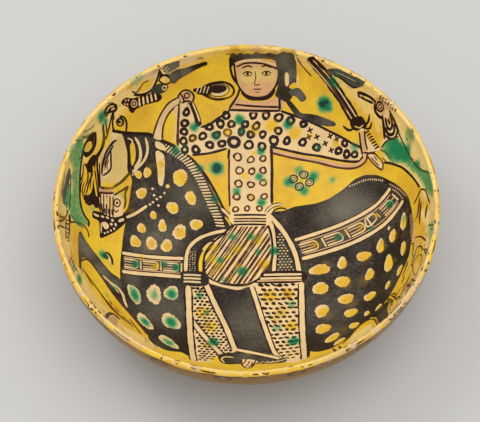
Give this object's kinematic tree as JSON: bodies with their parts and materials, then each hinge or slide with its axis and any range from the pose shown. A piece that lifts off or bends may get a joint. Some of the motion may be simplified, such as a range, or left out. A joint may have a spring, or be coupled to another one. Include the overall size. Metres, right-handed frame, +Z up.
{
  "type": "pottery bowl",
  "caption": "Wide, deep buff-ware pottery bowl on a low foot, painted inside in black-brown, yellow and green with a rider on a spotted horse, birds and leaves.",
  "frame": {"origin": "on the surface that the foot stands on, below the middle of the bowl", "axes": "+Z up along the bowl's axis; -Y towards the side that the horse's hooves point to, so that the painted figures stand upright for a viewer at -Y; +X to that viewer's right"},
  "size_m": [0.3784, 0.3816, 0.114],
  "materials": {
    "painted_glaze": "clear lead glaze over painting in black-brown, yellow and green on a buff ground, worn at the lip, with a bare buff clay foot"
  },
  "bodies": {
    "root": {"bowl": "painted_glaze"}
  },
  "joints": []
}
